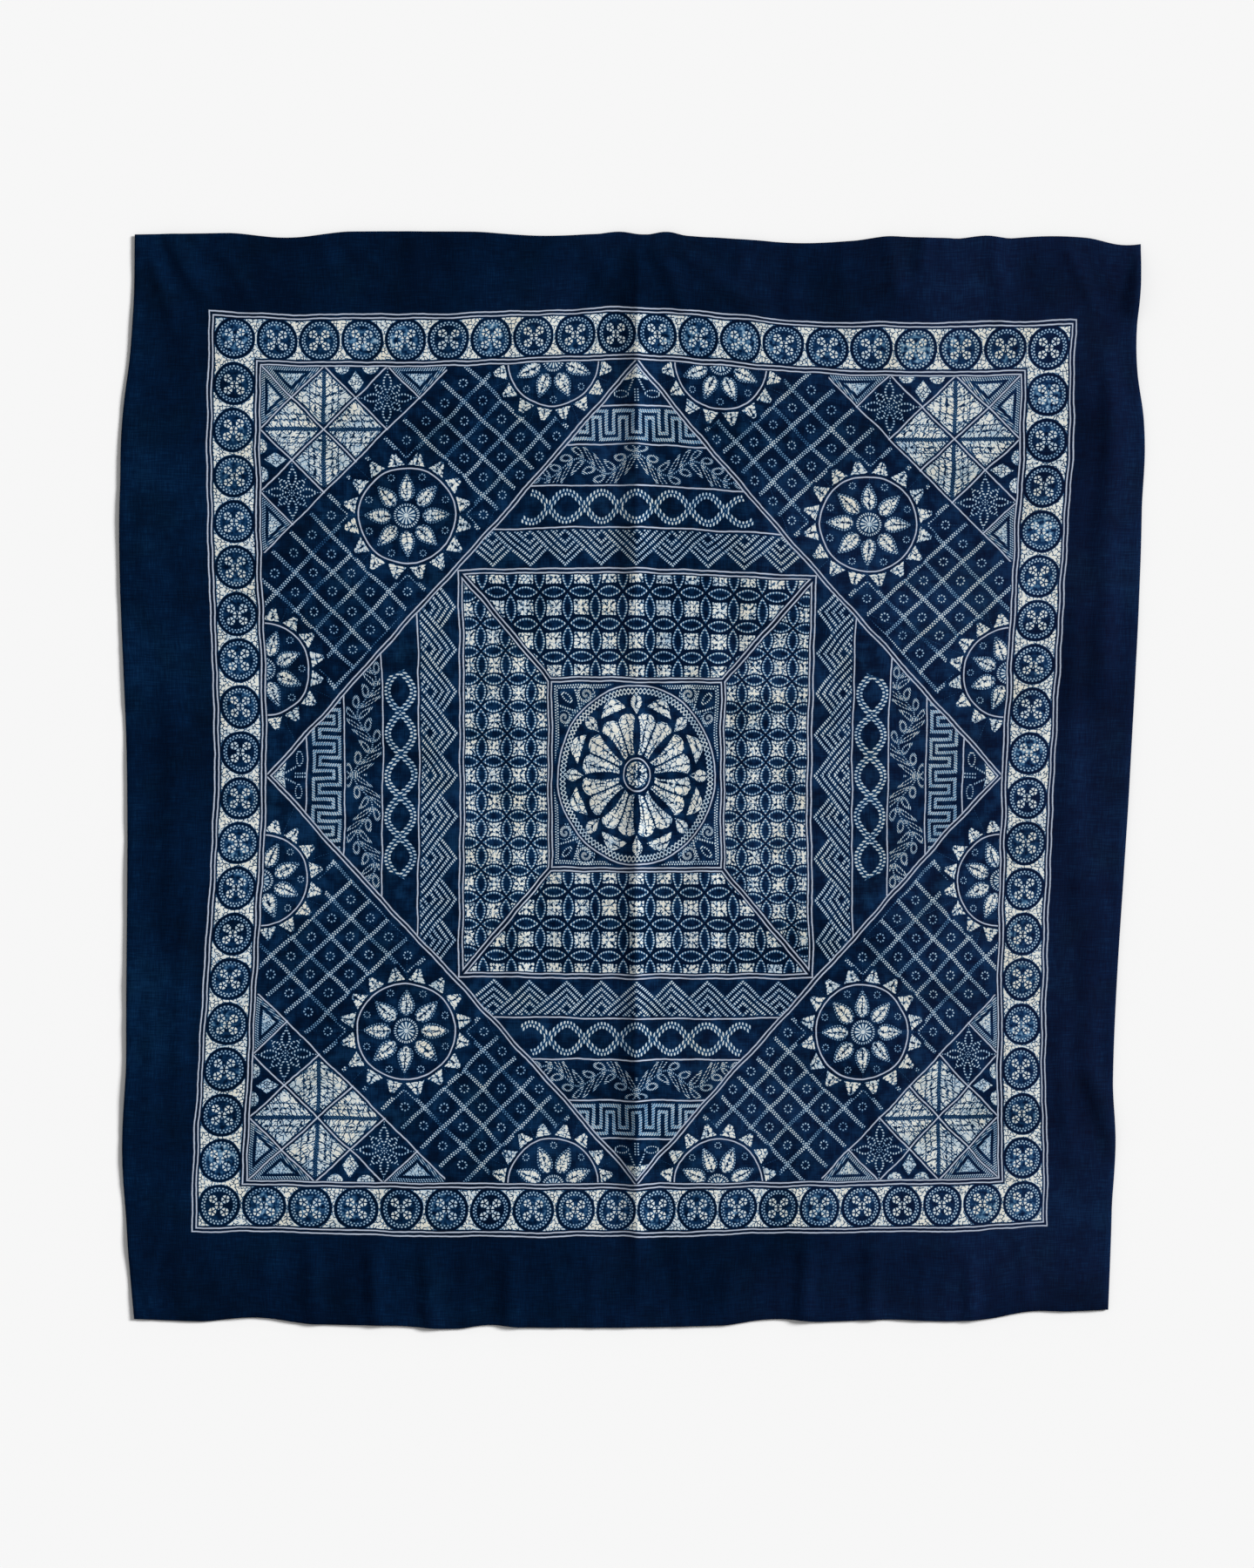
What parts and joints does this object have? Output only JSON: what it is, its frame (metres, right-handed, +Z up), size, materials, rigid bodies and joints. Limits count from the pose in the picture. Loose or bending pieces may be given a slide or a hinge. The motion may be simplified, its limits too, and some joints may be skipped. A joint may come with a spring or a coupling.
{
  "type": "furoshiki wrapping cloth",
  "caption": "Large square furoshiki of stitch-dyed indigo cotton, laid flat with soft folds and uneven hems.",
  "frame": {"origin": "centre of the bounding box on the surface that the cloth lies on", "axes": "+Z up from the surface through the face side, +Y towards the top hem, +X towards the right hem"},
  "size_m": [1.3242, 1.4169, 0.011],
  "materials": {
    "indigo_cotton": "matte hand-woven cotton, dyed deep indigo with undyed stitch-resist patterns"
  },
  "bodies": {
    "root": {"cloth": "indigo_cotton"}
  },
  "joints": []
}
